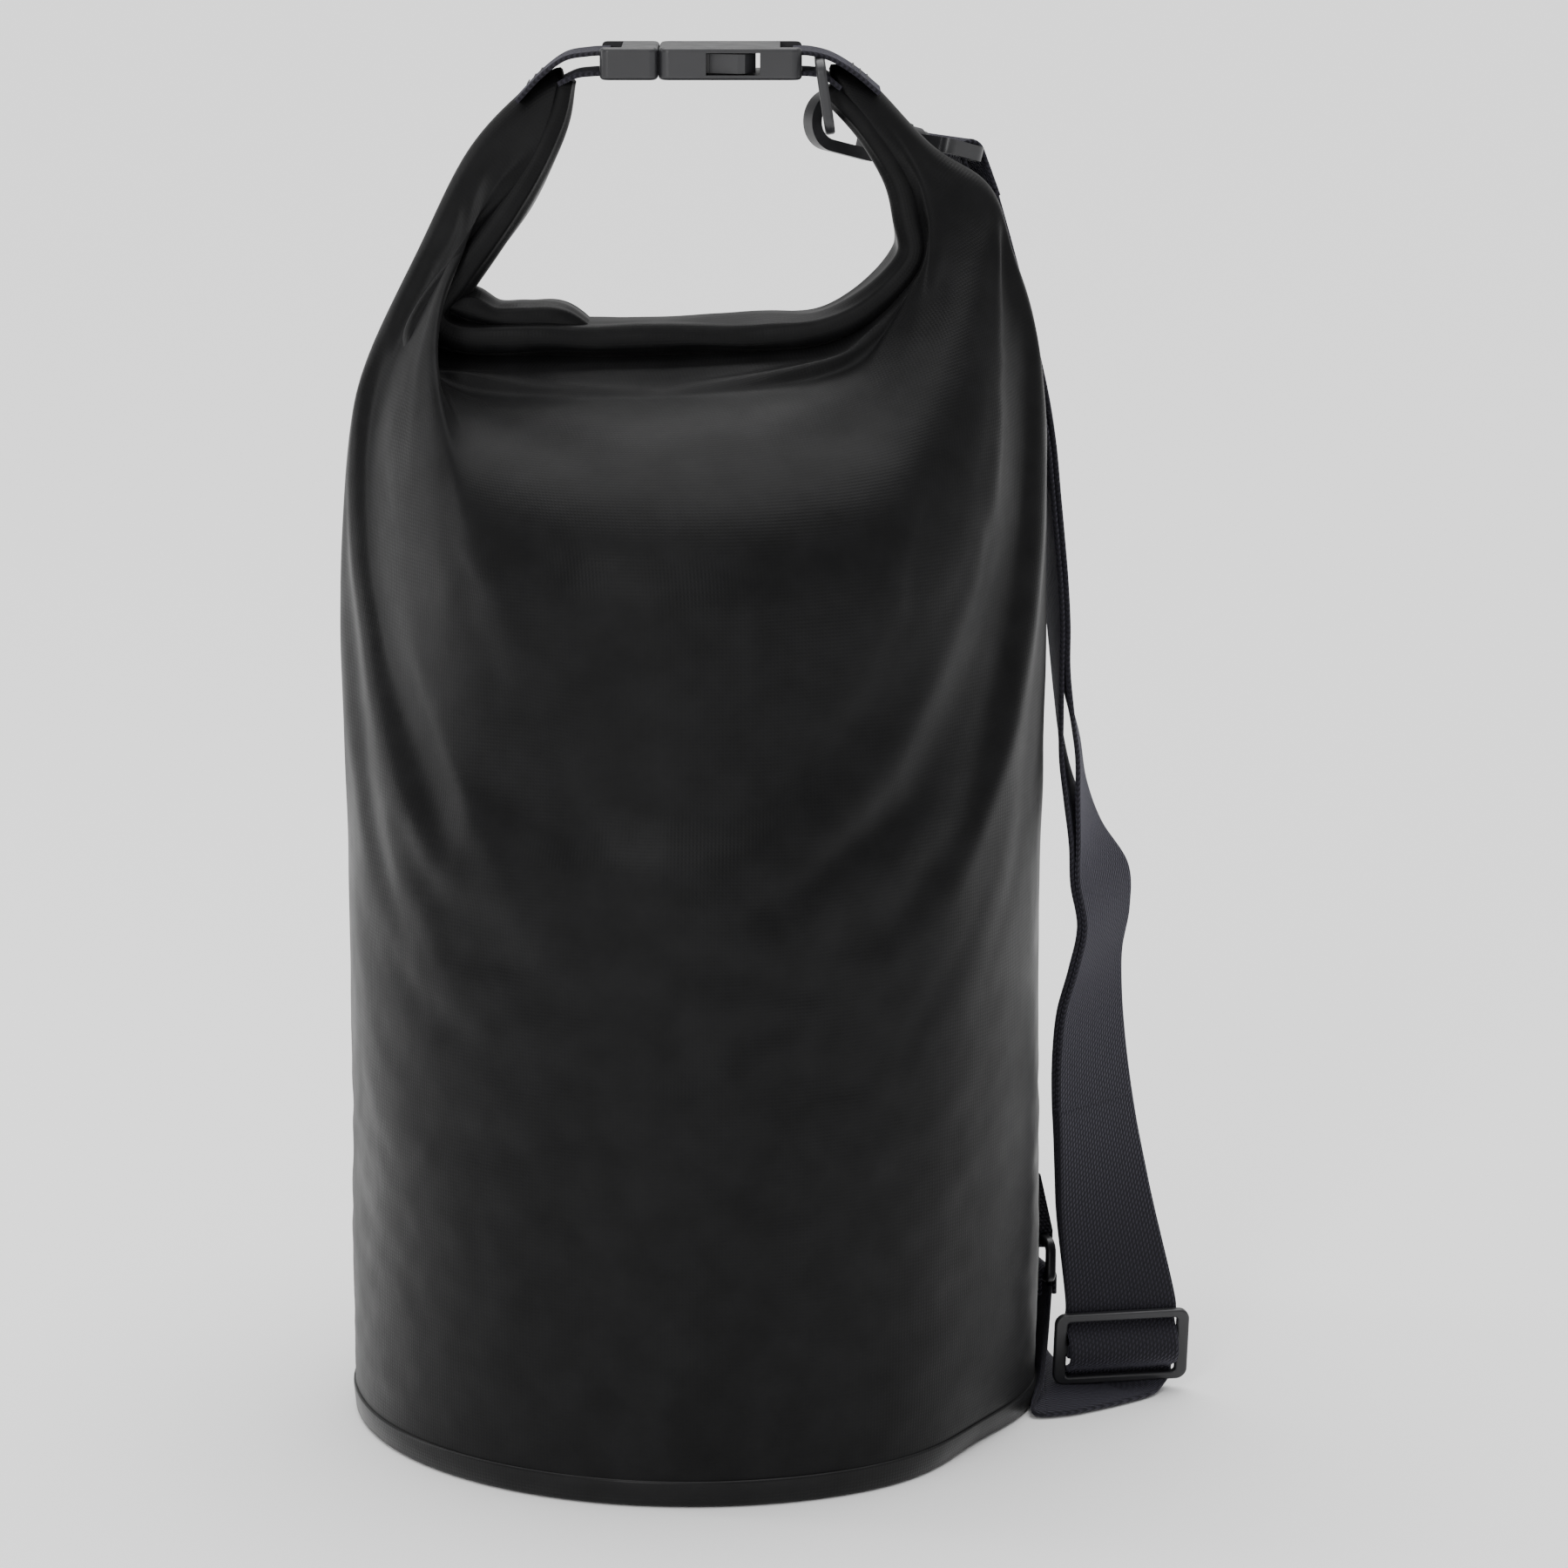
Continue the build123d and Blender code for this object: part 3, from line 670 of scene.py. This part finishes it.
def back_seam(tube):
    """The overlap weld up the back of the tube, a strip that follows the settled cloth."""
    found = {}
    for vertex in tube.data.vertices:
        along = vertex.co.z - vertex.co.y  # rises all the way from the foot to the collar
        if vertex.co.y > 0.017 and abs(vertex.co.x) < 0.004 and vertex.co.z > FOOT_BAND:
            found.setdefault(round(along / 0.006), []).append(vertex.co.copy())
    middles = []
    for key in sorted(found):
        middle = sum(found[key], Vector()) / len(found[key])
        out = Vector((0, middle.y, max(0.0, middle.z - 0.30) * 1.6)).normalized()
        middles.append((0.0, middle.y + out.y * 0.0007, middle.z + out.z * 0.0007))
    middles = smooth_rows(middles[::2], 110)
    half = np.array([0.011, 0, 0])
    return band("back_seam", middles - half, middles + half, 0.0012, WELD)


# ---- the handle's webbing ----
STRAND_TOP = BUCKLE_Z + 0.0034
STRAND_LOW = BUCKLE_Z - 0.0034
# Each strand from the buckle out: its name, its body, its line in X and Z, and the CAD node it replaces.
HANDLE = [
    ("left_webbing_top", "plug", [
        (-0.0275, STRAND_TOP), (-0.0345, STRAND_TOP - 0.0004), (-0.0425, 0.4699), (-0.0505, 0.4640),
        (-0.0585, 0.4556),
    ], ["left_webbing"]),
    ("left_webbing_low", "plug", [
        (-0.0275, STRAND_LOW), (-0.033, STRAND_LOW - 0.0002), (-0.0385, 0.4642), (-0.0445, 0.4615),
    ], []),
    ("right_webbing_top", "closure", [
        (0.034, STRAND_TOP), (0.040, STRAND_TOP - 0.0002), (0.0470, 0.4698), (0.0550, 0.4650),
        (0.0630, 0.4583),
    ], ["right_webbing"]),
    ("right_webbing_low", "closure", [
        (0.034, STRAND_LOW), (0.040, STRAND_LOW - 0.0002), (0.0445, 0.4640), (0.050, 0.4600),
    ], []),
]


def handle_band(name, knots):
    """Webbing of the handle, its width from front to back, along a line in X and Z."""
    middles = smooth_rows([(x, 0, z) for x, z in knots], 60)
    half = np.array([0, HANDLE_WIDTH / 2, 0])
    return band(name, middles - half, middles + half, HANDLE_THICKNESS, WEBBING)


# ---- the shoulder strap ----
# Where the doubled strap hangs: its middle, the direction across it in degrees from X, and half the distance
# between its two layers. It runs as in the CAD, and adds the twist and the outward corner above the slider.
STRAP_LINE = [
    (0.0906, 0.0367, 0.4210, 122, 0.0037), (0.1040, 0.0395, 0.3880, 112, 0.0020),
    (0.1180, 0.0290, 0.3480, 99, 0.0011), (0.1230, 0.0235, 0.3150, 95, 0.0010),
    (0.1255, 0.0195, 0.2820, 96, 0.0010), (0.1270, 0.0165, 0.2560, 92, 0.0012),
    (0.1302, 0.0140, 0.2300, 87, 0.0028), (0.1330, 0.0120, 0.2110, 82, 0.0018),
    (0.1375, 0.0105, 0.1950, 71, 0.0012), (0.1425, 0.0095, 0.1800, 55, 0.0011),
    (0.1418, 0.0090, 0.1660, 66, 0.0011), (0.1382, 0.0085, 0.1460, 57, 0.0011),
    (0.1380, 0.0080, 0.1200, 48, 0.0011), (0.1410, 0.0070, 0.0890, 39, 0.0011),
    (0.1460, 0.0055, 0.0520, 20, 0.0014),
]
# The loop at the top: the middle of its far bar, and the ways down, across and out of the strap there.
LOOP_BAR = np.array([0.08546, 0.03835, 0.43525])
STRAP_DOWN = unit(np.array([31.0, -10.0, -85.0]))
TOP_ACROSS = np.array([math.cos(math.radians(122)), math.sin(math.radians(122)), 0])
TOP_OUT = unit(np.cross(TOP_ACROSS, STRAP_DOWN))
LOOP_BAR_HALF = 0.0030

# The slider, turned a little to one side, with its top leaning forward.
SLIDER_YAW = math.radians(10)
SLIDER_LEAN = math.radians(8)
SLIDER_MIDDLE = np.array([0.150, 0.002, 0.0166])
SLIDER_ACROSS = np.array([math.cos(SLIDER_YAW), math.sin(SLIDER_YAW), 0])
SLIDER_FACING = np.array([math.sin(SLIDER_YAW), -math.cos(SLIDER_YAW), 0])
SLIDER_UP = SLIDER_FACING * math.sin(SLIDER_LEAN) + np.array([0, 0, math.cos(SLIDER_LEAN)])
SLIDER_FRONT = np.cross(SLIDER_ACROSS, SLIDER_UP)

# How each layer ends at the slider: heights along it, and distances in front of its middle.
MAIN_PROFILE = [(0.017, -0.0031), (0.0094, -0.0031), (0.0032, 0.0053), (-0.0032, 0.0053)]
MAIN_PROFILE += [(-0.0094, -0.0031), (-0.0134, -0.0031)]
RETURN_PROFILE = [(0.017, -0.0055), (0.009, -0.0055), (0.0028, -0.0026)]

# The layers: the name, the side of the strap's middle, the end at the slider and the CAD node it replaces.
LAYERS = (
    ("strap_outer", 1, MAIN_PROFILE, "strap_main_layer"),
    ("strap_inner", -1, RETURN_PROFILE, "strap_return_layer"),
)
# Each layer hangs in touching pieces, one for each joint: the two bodies it joins, and the heights where its
# bend starts and ends. The layers are cut where one bend ends and the next starts.
JOINTS = (
    ("strap_loop", "snap_hook", 0.425, 0.406),
    ("snap_hook", "upper_ring", 0.406, 0.388),
    ("upper_ring", "closure", 0.388, 0.350),
    ("closure", "bag", 0.350, 0.105),
    ("bag", "slider", 0.105, 0.036),
)

# The edges of the strap's lower run, from the ring on the wall down to the ground and on to the slider.
RUN_NEAR = [(0.1258, 0.0183, 0.0335), (0.1240, 0.0060, 0.0190), (0.1215, -0.0120, 0.0075)]
RUN_NEAR += [(0.1180, -0.0270, 0.0016), (0.1290, -0.0265, 0.0011), (0.1400, -0.0205, 0.0011)]
RUN_NEAR += [(0.1520, -0.0120, 0.0011), (0.1620, -0.0030, 0.0012), (0.1678, 0.0085, 0.0030)]
RUN_FAR = [(0.1146, 0.0552, 0.0335), (0.1165, 0.0480, 0.0190), (0.1215, 0.0400, 0.0095)]
RUN_FAR += [(0.1255, 0.0325, 0.0048), (0.1280, 0.0265, 0.0030), (0.1295, 0.0200, 0.0024)]
RUN_FAR += [(0.1303, 0.0140, 0.0022), (0.1306, 0.0080, 0.0024), (0.1304, 0.0036, 0.0034)]

# The lower ring: the way out of the wall there, the way along the ring's bar, and the middle of that bar.
RING_YAW = math.radians(17)
RING_OUT = np.array([math.cos(RING_YAW), math.sin(RING_YAW), 0])
RING_ALONG = np.array([-RING_OUT[1], RING_OUT[0], 0])
RING_BAR = RING_OUT * (TUBE_RADIUS + 0.0046) + np.array([0, 0, RING_FOOT_Z + 0.0017])


def strap_edges(side, count):
    """The two edges of one hanging layer: side 1 is the outer layer and -1 the inner one."""
    rows = smooth_rows(STRAP_LINE, count)
    middles = rows[:, :3]
    angles = np.radians(rows[:, 3])
    across = np.column_stack([np.cos(angles), np.sin(angles), angles * 0])
    face = unit(np.cross(np.gradient(middles, axis=0), across))
    middles = middles + face * side * rows[:, 4:5]
    return middles - across * STRAP_WIDTH / 2, middles + across * STRAP_WIDTH / 2


def whole_layer(side, profile):
    """The edges of one whole layer of the strap, from the loop at the top through the slider."""
    one, other = strap_edges(side, 150)
    at_slider = np.array([SLIDER_MIDDLE + SLIDER_UP * up + SLIDER_FRONT * front for up, front in profile])
    half = SLIDER_ACROSS * (STRAP_WIDTH / 2 + 0.0006)
    near = np.vstack([one[::6], at_slider - half])
    far = np.vstack([other[::6], at_slider + half])
    return smooth_rows(near, 300), smooth_rows(far, 300)


def layer_pieces(name, one, other):
    """A layer of the strap in its touching pieces, numbered from the top."""
    middles = (one + other) / 2
    cuts = [low for above, below, high, low in JOINTS[:-1]]
    marks = [0] + [int(np.argmax(middles[:, 2] < cut)) for cut in cuts] + [len(one) - 1]
    walked = walked_along(middles)
    made = []
    for number, (first, last) in enumerate(zip(marks, marks[1:]), start=1):
        part = slice(first, last + 1)
        piece = band(f"{name}_{number}", one[part], other[part], STRAP_THICKNESS, WEBBING, walked[first])
        made.append(piece)
    return made


def turned_over(name, bar, bar_half, away, out, across, reach, width=STRAP_WIDTH):
    """Strap turned round a bar: two strands that run away from it."""
    radius = bar_half + STRAP_THICKNESS / 2 + 0.0002
    middles = [bar + away * reach + out * radius]
    for degrees in range(90, 271, 15):
        turn = math.radians(degrees)
        middles.append(bar + away * radius * math.cos(turn) + out * radius * math.sin(turn))
    middles.append(bar + away * reach - out * radius)
    middles = np.array(middles)
    half = across * width / 2
    return band(name, middles - half, middles + half, STRAP_THICKNESS, WEBBING)


# ---- build ----
# The roll's left arm, split off as its own piece: where it starts and ends.
ARM_FOOT = Vector((-0.088, 0, 0.400))
ARM_TIP = Vector((-0.050, 0, 0.462))


def on_left_arm(place):
    above_foot = (place - ARM_FOOT).dot((ARM_TIP - ARM_FOOT).normalized()) > 0
    return above_foot and place.x < -0.03 and place.z > 0.392


def finish(piece, slot, *replaced):
    """Hide the CAD nodes whose place the piece takes. The piece and the slot name are not used."""
    if replaced:
        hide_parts(*replaced)


def dress_frame():
    """Finish the CAD nodes. Those that still show are moulded plastic, apart from the patch and the tab."""
    special = {"lower_patch": WELD, "lower_ring_tab": TAB_WEBBING}
    for name, node in frame["nodes"].items():
        node.data.materials.clear()
        node.data.materials.append(special.get(name, PLASTIC))


def add_tube():
    """The body's cloth, and its left arm as its own piece."""
    tube = cloth_tube()
    arm = split_off(tube, "left_arm_cloth", on_left_arm)
    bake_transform(tube)
    finish(tube, "coated_fabric", "tube_shell")
    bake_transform(arm)
    finish(arm, "coated_fabric", "collar_arm_left")
    return tube


def add_collar():
    """The rolled collar, its left arm, and the bunched fold beside it."""
    roll = rolled("rolled_collar", ROLL, 190, 0.10, 2.0)
    arm = split_off(roll, "left_arm_roll", on_left_arm)
    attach(roll, "closure")
    finish(roll, "coated_fabric", "collar_roll", "collar_arm_right", "front_stiffener", "back_stiffener")
    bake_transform(arm)
    finish(arm, "coated_fabric")
    bunch = rolled("collar_bunch", BUNCH, 50, 0.08, 7.0)
    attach(bunch, "closure")
    finish(bunch, "coated_fabric")


def add_welds(tube):
    """The foot band, the base and the weld up the back."""
    foot = foot_band()
    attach(foot, "bag")
    finish(foot, "coated_fabric")
    base = base_sheet()
    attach(base, "bag")
    finish(base, "coated_fabric", "base_disc")
    seam = back_seam(tube)
    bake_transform(seam)
    finish(seam, "coated_fabric")


def add_handle():
    """The handle's webbing, over the tips of the collar and round the buckle's bars."""
    for name, body, knots, replaced in HANDLE:
        strand = handle_band(name, knots)
        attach(strand, body)
        finish(strand, "webbing", *replaced)


def add_hanging_strap():
    """Both layers of the strap, and the turns at the loop and the slider."""
    for name, side, profile, replaced in LAYERS:
        pieces = layer_pieces(name, *whole_layer(side, profile))
        for piece, (above, below, high, low) in zip(pieces, JOINTS):
            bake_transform(piece)
            finish(piece, "webbing")
        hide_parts(replaced)
    top = turned_over("strap_top_turn", LOOP_BAR, LOOP_BAR_HALF, STRAP_DOWN, TOP_OUT, TOP_ACROSS, 0.0165)
    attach(top, "strap_loop")
    finish(top, "webbing", "strap_top_wrap")
    turn = turned_over(
        "slider_turn", SLIDER_MIDDLE, 0.0015, SLIDER_UP, SLIDER_FRONT, SLIDER_ACROSS, 0.0024, 0.0393
    )
    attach(turn, "slider")
    finish(turn, "webbing", "slider_wrap")


def add_lower_run():
    """The strap from the slider over the ground and up to its turned end at the lower ring."""
    near = smooth_rows(RUN_NEAR, 120)
    far = smooth_rows(RUN_FAR, 120)
    middle = 60
    wall = band("strap_run_wall", near[: middle + 1], far[: middle + 1], STRAP_THICKNESS, WEBBING)
    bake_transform(wall)
    finish(wall, "webbing", "strap_lower_run")
    floor = band("strap_run_floor", near[middle:], far[middle:], STRAP_THICKNESS, WEBBING)
    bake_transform(floor)
    finish(floor, "webbing")
    down = np.array([0, 0, -1.0])
    end = turned_over("strap_end_turn", RING_BAR, 0.0017, down, RING_OUT, RING_ALONG, 0.0065)
    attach(end, "lower_ring")
    finish(end, "webbing", "strap_end_wrap")


def add_tacks():
    """Bar tacks of thread across the strap's turned end, the handle's ends and the tab of the lower ring."""
    strap_face = TOP_OUT * (LOOP_BAR_HALF + STRAP_THICKNESS + 0.0003)
    handle_face = HANDLE_THICKNESS / 2 + 0.0001
    to_back = np.array([0, 1.0, 0])
    right = np.array([0.0560, 0, 0.4643])
    right_along = unit(np.array([0.78, 0, -0.62]))
    right_out = unit(np.array([0.62, 0, 0.78])) * handle_face
    left = np.array([-0.0520, 0, 0.4626])
    left_along = unit(np.array([-0.73, 0, -0.68]))
    left_out = unit(np.array([-0.68, 0, 0.73])) * handle_face
    tab = RING_OUT * (TUBE_RADIUS + 0.0052) + np.array([0, 0, 0.0640])
    tab_out = unit(RING_OUT + np.array([0, 0, 0.25]))
    tab_down = unit(np.cross(RING_ALONG, tab_out))
    at_loop = (0.011, 0.0135)
    on_handle = (-0.003, 0, 0.003)
    on_tab = (-0.004, 0.004)
    tacks = [
        ("strap_tack", "strap_loop", LOOP_BAR, STRAP_DOWN, TOP_ACROSS, strap_face, 0.034, at_loop),
        ("right_tack", "closure", right, right_along, to_back, right_out, 0.021, on_handle),
        ("left_tack", "plug", left, left_along, to_back, left_out, 0.021, on_handle),
        ("tab_tack", "bag", tab, tab_down, RING_ALONG, tab_out * 0.0006, 0.026, on_tab),
    ]
    for name, body, middle, along, across, out, width, steps in tacks:
        tack = stitches(name, tack_lines(middle, along, across, out, width, steps), THREAD)
        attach(tack, body)
        finish(tack, "webbing")


camera()
studio()
dress_frame()
bag_tube = add_tube()
add_collar()
add_welds(bag_tube)
add_handle()
add_hanging_strap()
add_lower_run()
add_tacks()
